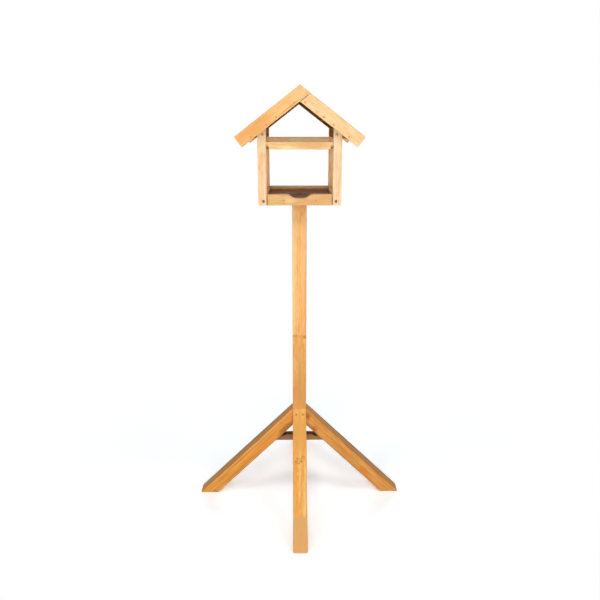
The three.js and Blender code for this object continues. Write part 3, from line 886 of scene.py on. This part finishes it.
# Side rails: straight planed softwood boards along the sides of the tray. Their ends butt against
# the corner posts, and a screw through each post holds them.
rail_outer = INSIDE_WIDTH + RAIL_THICKNESS
SIDE_RAIL_LOOKS = {
    "left": (linear(242, 196, 136), 5.2, (14, -30)),
    "right": (linear(240, 190, 128), 6.9, (-20, -24)),
}
side_rail_end = INSIDE_DEPTH - FIT_GAP
side_rail_span = (-side_rail_end, side_rail_end)
for name, outward in SIDES.items():
    tone, seed, pith = SIDE_RAIL_LOOKS[name]
    near, far = sorted((outward.x * INSIDE_WIDTH, outward.x * rail_outer))
    outline = [(near, TRAY_BOTTOM), (far, TRAY_BOTTOM), (far, RAIL_TOP), (near, RAIL_TOP)]
    rail = sawn(f"{name}_long_rail", outline, side_rail_span, BACK, outward)
    pine(rail, tone, seed, pith)
    fitted(rail, "house_timber", f"{name}_side_rail")


# Corner posts: square planed posts that stand level with the rails and are cut to the roof's pitch.
# Screws through them hold the rails and the eaves plates.
PITCH = math.radians(37)
RIDGE = 1159.377
FRAME_TOP = 28.8


def frame_top_at(x):
    """Height of the top of the house frame under the roof boards, at a distance from the middle."""
    return RIDGE - FRAME_TOP / math.cos(PITCH) - x * math.tan(PITCH)


ENDS = {"front": FORWARD, "rear": BACK}
POST_LOOKS = {
    # Painted light: pale patches at the tops of the front posts, lifting the bargeboards' shade
    "front_left": (linear(253, 208, 161), 1.3, (10, -26), [
        ((-92, -HALF_DEPTH, 1034), 34, 22, linear(254, 224, 176), 0.7),
    ]),
    "front_right": (linear(252, 218, 178), 4.9, (-12, -24), [
        ((92, -HALF_DEPTH, 1034), 34, 22, linear(254, 226, 182), 0.6),
    ]),
    "rear_left": (linear(238, 190, 132), 7.1, (16, -20), []),
    "rear_right": (linear(240, 192, 136), 8.8, (-18, -22), []),
}
PLATE_THICKNESS = 16
SIDE_SCREW_RISE = 10
CROSS_SCREW_RISE = 18
CROSS_SCREW_INSET = 8
PLATE_SCREW_DROP = 8
plate_middle = INSIDE_WIDTH + PLATE_THICKNESS / 2
side_rail_places = []
plate_places = []
cross_rail_places = []
rail_screw_nodes = []
plate_screw_nodes = []
for end, outward in ENDS.items():
    for name, sideways in SIDES.items():
        side = sideways.x
        outline = [
            (side * INSIDE_WIDTH, TRAY_BOTTOM),
            (side * HALF_WIDTH, TRAY_BOTTOM),
            (side * HALF_WIDTH, frame_top_at(HALF_WIDTH)),
            (side * INSIDE_WIDTH, frame_top_at(INSIDE_WIDTH)),
        ]
        span = sorted((outward.y * INSIDE_DEPTH, outward.y * HALF_DEPTH))
        post = sawn(f"{end}_{name}_corner_post", outline, span, UP, outward)
        face = outward.y * (HALF_DEPTH - HEAD_SINK)
        side_face = side * (HALF_WIDTH - HEAD_SINK)
        inset_face = outward.y * (HALF_DEPTH - CROSS_SCREW_INSET)
        plate_height = frame_top_at(plate_middle) - PLATE_SCREW_DROP
        near_places = [
            (Vector((side * plate_middle, face, TRAY_BOTTOM + SIDE_SCREW_RISE)), -outward),
            (Vector((side * plate_middle, face, plate_height)), -outward),
            (Vector((side_face, inset_face, TRAY_BOTTOM + CROSS_SCREW_RISE)), -sideways),
        ]
        pitted(post, SCREW_SEAT, near_places)
        tone, seed, pith, stains_and_painted_light = POST_LOOKS[f"{end}_{name}"]
        pine(post, tone, seed, pith, ring=2.2, stains_and_painted_light=stains_and_painted_light)
        fitted(post, "house_timber", f"{end}_{name}_post")
        side_rail_places.append(near_places[0])
        plate_places.append(near_places[1])
        cross_rail_places.append(near_places[2])
        rail_screw_nodes.append(f"{end}_{name}_side_rail_screw")
        plate_screw_nodes.append(f"{end}_{name}_plate_screw")
rail_places = side_rail_places + cross_rail_places
rail_screws = placed("rail_screws", screw(LONG_SCREW), rail_places)
recessed(rail_screws, rail_places)
fastened(rail_screws, DULL_ZINC, 6.0, *rail_screw_nodes)
plate_screws = placed("plate_screws", screw(LONG_SCREW), plate_places)
recessed(plate_screws, plate_places)
fastened(plate_screws, OILED_STEEL, 6.5, *plate_screw_nodes)


# Eaves plates: planed boards front to back between the post tops, under the roof boards, with a top
# edge planed to the pitch.
PLATE_HEIGHT = 23
PLATE_BOTTOM = frame_top_at(INSIDE_WIDTH) - PLATE_HEIGHT
# Painted shade: the inner faces of the eaves plates are coloured dark brown, as under the roof
PLATE_INNER_SHADE = linear(176, 120, 66)
plate_outer = INSIDE_WIDTH + PLATE_THICKNESS
PLATE_LOOKS = {
    "left": (linear(206, 150, 92), 3.6, (14, -26)),
    "right": (linear(208, 152, 96), 9.1, (-16, -24)),
}
for name, outward in SIDES.items():
    side = outward.x
    outline = [
        (side * INSIDE_WIDTH, PLATE_BOTTOM),
        (side * plate_outer, PLATE_BOTTOM),
        (side * plate_outer, frame_top_at(plate_outer)),
        (side * INSIDE_WIDTH, frame_top_at(INSIDE_WIDTH)),
    ]
    plate = sawn(f"{name}_eaves_board", outline, side_rail_span, BACK, outward)
    tone, seed, pith = PLATE_LOOKS[name]
    pine(plate, tone, seed, pith, gloss=0, faces=[((0, 0, -1), PLATE_INNER_SHADE, 0.7)])
    fitted(plate, "house_timber", f"{name}_eaves_plate")


# Tie bars: planed bars across the open gables between the posts, held by a wire nail driven askew
# at each end. The rear one sits a little higher.
TIE_BAR_HEIGHT = 18
SHORT_NAIL = 22
SKEW_TURN = math.radians(50)
SKEW_INSET = 4
SKEW_SINK = 1.2
SKEW_DROP = 14
SKEW_SEAT = [(0, 4), (2.6, 4), (2.3, 0.2), (2.2, -1.1), (1.2, -1.2), (1.1, -4), (0, -4)]
TIE_BARS = {
    "front": (8.5, linear(255, 217, 160), 2.4, (12, -24), [
        ((-79, -HALF_DEPTH, 1017), 4, 7, linear(120, 84, 44), 0.75),
        ((79, -HALF_DEPTH, 1017), 4, 7, linear(120, 84, 44), 0.75),
        ((36, -HALF_DEPTH, 1022), 44, 14, linear(232, 172, 112), 0.7),
        ((-30, -HALF_DEPTH, 1016), 24, 6, linear(255, 226, 160), 0.6),
    ]),
    "rear": (2.5, linear(255, 214, 156), 5.5, (-14, -28), [
        ((0, INSIDE_DEPTH, 1036), 90, 1.4, linear(206, 132, 80), 0.45),
    ]),
}
tie_nail_places = []
tie_nail_nodes = []
for end, outward in ENDS.items():
    drop, tone, seed, pith, stains_and_painted_light = TIE_BARS[end]
    top = PLATE_BOTTOM - drop
    outline = box_outline(floor_half_width, top - TIE_BAR_HEIGHT, top)
    span = sorted((outward.y * INSIDE_DEPTH, outward.y * HALF_DEPTH))
    bar = sawn(f"{end}_gable_tie", outline, span, RIGHT, outward)
    places = []
    for name, sideways in SIDES.items():
        x = sideways.x * (INSIDE_WIDTH - SKEW_INSET)
        y = outward.y * (HALF_DEPTH - SKEW_SINK)
        way = sideways * math.sin(SKEW_TURN) - outward * math.cos(SKEW_TURN)
        places.append((Vector((x, y, top - SKEW_DROP)), way))
        tie_nail_nodes.append(f"{end}_{name}_tie_bar_nail")
    pitted(bar, SKEW_SEAT, places)
    pine(bar, tone, seed, pith, ring=2.2, stains_and_painted_light=stains_and_painted_light)
    fitted(bar, "house_timber", f"{end}_tie_bar")
    tie_nail_places += places
tie_nails = placed("tie_bar_nails", nail(SHORT_NAIL), tie_nail_places)
fastened(tie_nails, DULL_ZINC, 7.0, *tie_nail_nodes)


# Roof boards: two planed boards to a slope, front to back between the bargeboards, nailed down to
# the eaves plates and together at the ridge, where the left slope laps over the right.
BOARD_TOP = 18.5
BOARD_UNDER = 28.5
BOARD_GAP = 0.8
BOARD_LENGTH = 137.7
EAVES_OVERHANG = 52.3
BARGE_TAIL = 25
SLOPE_LENGTH = (HALF_WIDTH + EAVES_OVERHANG) / math.cos(PITCH)
BOARD_END = SLOPE_LENGTH - BARGE_TAIL
RIDGE_NAIL_REACH = 16.6
RIDGE_NAILS = (-110, -55, 0, 55, 110)
PLATE_NAIL_REACH = 140
PLATE_NAILS = (-80, 0, 80)


def ridge_meeting(depth, other_depth):
    """Distance down one slope, at a depth, where a plane of the other slope crosses it."""
    total = depth + other_depth
    difference = depth - other_depth
    return total * math.tan(PITCH) / 2 - difference / (2 * math.tan(PITCH))


def slope_outline(side, top, under, start, end):
    """Outline of a roof member on its slope, with the distances of its two upper corners."""
    rows = [(start[0], top), (end, top), (end, under), (start[1], under)]
    return [(side * along, -depth) for along, depth in rows]


def slope_place(side):
    """From the ridge, with X down the slope on that side."""
    return Matrix.Translation((0, 0, RIDGE)) @ Matrix.Rotation(side * PITCH, 4, "Y")


board_joint = (ridge_meeting(BOARD_UNDER, BOARD_UNDER) + BOARD_END) / 2
ROOF_LOOKS = {
    "left_upper": (linear(246, 186, 116), 1.1, (30, -40)),
    "left_lower": (linear(248, 190, 122), 2.7, (-26, -46)),
    "right_upper": (linear(250, 200, 134), 4.1, (22, -50)),
    "right_lower": (linear(246, 192, 124), 5.9, (-34, -38)),
}
# Painted shade: the undersides of the roof boards are coloured dark brown
UNDERSIDE_SHADE = linear(88, 58, 38)
roof_nail_places = []
for name, sideways in SIDES.items():
    side = sideways.x
    slope = slope_place(side)
    other = BOARD_TOP if side < 0 else BOARD_UNDER + FIT_GAP
    head = [ridge_meeting(BOARD_TOP, other), ridge_meeting(BOARD_UNDER, other)]
    lower_start = board_joint + BOARD_GAP / 2
    outlines = {
        "upper": slope_outline(side, BOARD_TOP, BOARD_UNDER, head, board_joint - BOARD_GAP / 2),
        "lower": slope_outline(side, BOARD_TOP, BOARD_UNDER, [lower_start, lower_start], BOARD_END),
    }
    ridge_nails = [(side * RIDGE_NAIL_REACH, y) for y in RIDGE_NAILS] if side < 0 else []
    plate_nails = [(side * PLATE_NAIL_REACH, y) for y in PLATE_NAILS]
    for row, spots in (("upper", ridge_nails), ("lower", plate_nails)):
        board = sawn(
            f"{name}_{row}_roof_slat", outlines[row], (-BOARD_LENGTH, BOARD_LENGTH), BACK, UP, slope
        )
        places = [(Vector((x, y, HEAD_SINK / 2 - BOARD_TOP)), DOWN) for x, y in spots]
        places = turned_places(places, slope)
        if places:
            pitted(board, NAIL_SEAT, places)
        tone, seed, pith = ROOF_LOOKS[f"{name}_{row}"]
        pine(board, tone, seed, pith, ring=3.2, gloss=0, faces=[((0, 0, -1), UNDERSIDE_SHADE, 0.9)])
        fitted(board, "roof_timber", f"{name}_{row}_roof_board")
        roof_nail_places += places
roof_nails = placed("roof_nails", nail(SHORT_NAIL), roof_nail_places)
fastened(roof_nails, DULL_ZINC, 8.0)


# Bargeboards: planed boards nailed to the ends of the roof boards at both gables. The left ones run
# up to the ridge, and the right ones butt against them.
BARGE_WIDTH = 30
GABLE_OVERHANG = 39
BARGE_THICKNESS = 12
BARGE_FAR = HALF_DEPTH + GABLE_OVERHANG
BARGE_NEAR = BARGE_FAR - BARGE_THICKNESS
BARGE_NAIL_DEPTH = 24
BARGE_NAILS = (34, 88, 117, 163)
BARGE_LOOKS = {
    "front_left": (linear(246, 187, 121), 6.6, (9, -30), (), [
        ((-44, -BARGE_FAR, 1111), 46, 26, linear(252, 202, 136), 0.4),
        ((-4, -BARGE_FAR, 1141), 28, 30, linear(236, 194, 136), 0.85),
        ((-110, -BARGE_FAR, 1063), 60, 24, linear(230, 162, 90), 0.65),
        ((-26, -BARGE_FAR, 1108), 34, 0.9, linear(150, 96, 52), 0.7),
    ]),
    "front_right": (linear(252, 213, 160), 3.3, (-11, -26), [((40, -BARGE_FAR, 1099), 2.4, 0.3)], [
        ((52, -BARGE_FAR, 1104), 46, 6, linear(252, 200, 140), 0.6),
        ((12.5, -BARGE_FAR, 1130.4), 15, 0.8, linear(110, 76, 44), 0.9, math.radians(-74)),
    ]),
    "rear_left": (linear(246, 190, 126), 8.1, (12, -28), (), ()),
    "rear_right": (linear(246, 188, 122), 7.4, (-9, -32), (), ()),
}
barge_nail_places = []
for end, outward in ENDS.items():
    for name, sideways in SIDES.items():
        side = sideways.x
        slope = slope_place(side)
        other = 0 if side < 0 else BARGE_WIDTH + FIT_GAP
        head = [ridge_meeting(0, other), ridge_meeting(BARGE_WIDTH, other)]
        outline = slope_outline(side, 0, BARGE_WIDTH, head, SLOPE_LENGTH)
        span = sorted((outward.y * BARGE_NEAR, outward.y * BARGE_FAR))
        board = sawn(f"{end}_{name}_gable_board", outline, span, sideways, outward, slope)
        y = outward.y * (BARGE_FAR - HEAD_SINK)
        places = [(Vector((side * x, y, -BARGE_NAIL_DEPTH)), -outward) for x in BARGE_NAILS]
        places = turned_places(places, slope)
        pitted(board, NAIL_SEAT, places)
        tone, seed, pith, knots, stains_and_painted_light = BARGE_LOOKS[f"{end}_{name}"]
        pine(board, tone, seed, pith, knots=knots, stains_and_painted_light=stains_and_painted_light)
        fitted(board, "roof_timber", f"{end}_{name}_bargeboard")
        barge_nail_places += places
barge_nails = placed("bargeboard_nails", nail(LONG_NAIL), barge_nail_places)
fastened(barge_nails, OILED_STEEL, 9.0)


# Studio: a pale floor that runs out to a white backdrop. The camera sees the floor white, with the
# object's soft shadow on it.
PAPER_SIZE = 40.0
PAPER_DROP = 0.0004
PAPER_PALE = (0.6, 0.6, 0.6, 1)
floor_mesh = bpy.data.meshes.new("studio_floor")
half_paper = PAPER_SIZE / 2
floor_corners = [
    (-half_paper, -half_paper, -PAPER_DROP),
    (half_paper, -half_paper, -PAPER_DROP),
    (half_paper, half_paper, -PAPER_DROP),
    (-half_paper, half_paper, -PAPER_DROP),
]
floor_mesh.from_pydata(floor_corners, [], [(0, 1, 2, 3)])
studio_floor = new_object("studio_floor", floor_mesh)

# Near the table the camera sees a floor bright enough to clip to white where no shadow falls
SEEN_PALE = (1.46, 1.535, 1.59, 1)
SHADOW_FADE = (0.5, 0.85)
WHITE = (1, 1, 1, 1)
paper = bpy.data.materials.new("studio_paper")
s = new_shade(paper)
plain = s.node("ShaderNodeBsdfDiffuse", inputs={"Color": PAPER_PALE})
shadowed = s.node("ShaderNodeBsdfDiffuse", inputs={"Color": SEEN_PALE})
white = s.node("ShaderNodeEmission", inputs={"Color": WHITE, "Strength": 1.0})
reach = s.node("ShaderNodeTexCoord", output="Object").vector("LENGTH", output=1)
seen = s.node("ShaderNodeMixShader", inputs={0: reach.fade(*SHADOW_FADE), 1: shadowed, 2: white})
light_path = s.node("ShaderNodeLightPath")
shows_white = light_path.other("Is Glossy Ray") + light_path.other("Is Transmission Ray")
backed = s.node("ShaderNodeMixShader", inputs={0: shows_white, 1: plain, 2: white})
seen_ray = light_path.other("Is Camera Ray")
surface = s.node("ShaderNodeMixShader", inputs={0: seen_ray, 1: backed, 2: seen})
s.node("ShaderNodeOutputMaterial", inputs={"Surface": surface})
floor_mesh.materials.append(paper)

AMBIENT = 0.16
world = bpy.data.worlds.new("studio_surroundings")
bpy.context.scene.world = world
s = new_shade(world)
soft = s.node("ShaderNodeBackground", inputs={"Color": WHITE, "Strength": AMBIENT})
bright = s.node("ShaderNodeBackground", inputs={"Color": WHITE, "Strength": 1.0})
light_path = s.node("ShaderNodeLightPath")
shows_white = light_path.other("Is Camera Ray") + light_path.other("Is Glossy Ray")
shows_white = shows_white + light_path.other("Is Transmission Ray")
surroundings = s.node("ShaderNodeMixShader", inputs={0: shows_white, 1: soft, 2: bright})
s.node("ShaderNodeOutputWorld", inputs={"Surface": surroundings})

# Large soft lights: strong ones in front and behind, weaker ones at the sides, and three smaller
# ones overhead that draw the shadows of the legs. Each has its place, what it points at, its size
# in metres and its power.
LIGHTS = {
    "front": ((0, -3.0, 0.75), (0, 0, 0.65), (2.6, 1.5), 51.5),
    "back": ((0.3, 3.0, 1.2), (0, 0, 0.8), (2.6, 1.5), 46),
    "left": ((-2.9, -0.8, 1.1), (0, 0, 0.8), (2.0, 1.4), 16),
    "right": ((2.9, -0.8, 1.1), (0, 0, 0.8), (2.0, 1.4), 16),
    "front_overhead": ((-0.2, -2.0, 2.5), (0, 0, 0.4), (1.0, 0.8), 12.5),
    "left_overhead": ((-1.8, -1.0, 2.8), (0, 0, 0.4), (0.8, 0.8), 10),
    "right_overhead": ((1.8, -1.0, 2.8), (0, 0, 0.4), (0.8, 0.8), 10),
}
for name, (position, target, (width, height), power) in LIGHTS.items():
    lamp = bpy.data.lights.new(f"{name}_light", "AREA")
    lamp.shape = "RECTANGLE"
    lamp.size = width
    lamp.size_y = height
    lamp.energy = power
    holder = new_object(f"{name}_light", lamp)
    holder.location = position
    aim = Vector(target) - Vector(position)
    holder.rotation_euler = aim.to_track_quat("-Z", "Y").to_euler()


# Camera: in front of the scooped gable, at the height of the roof, and looking down by 16 degrees.
# Its place, tilt and lens were fitted to the outline of the legs, the upright and the house.
SENSOR_WIDTH = 36
LENS = 37.014
CAMERA_PLACE = (-0.0156, -1.6501, 1.0807)
CAMERA_TILT = math.radians(73.73)
CAMERA_PAN = math.radians(-0.602)
camera_data = bpy.data.cameras.new("camera")
camera_data.sensor_width = SENSOR_WIDTH
camera_data.lens = LENS
camera = new_object("camera", camera_data)
camera.location = CAMERA_PLACE
camera.rotation_euler = (CAMERA_TILT, 0, CAMERA_PAN)
bpy.context.scene.camera = camera
bpy.context.scene.view_settings.view_transform = "Standard"
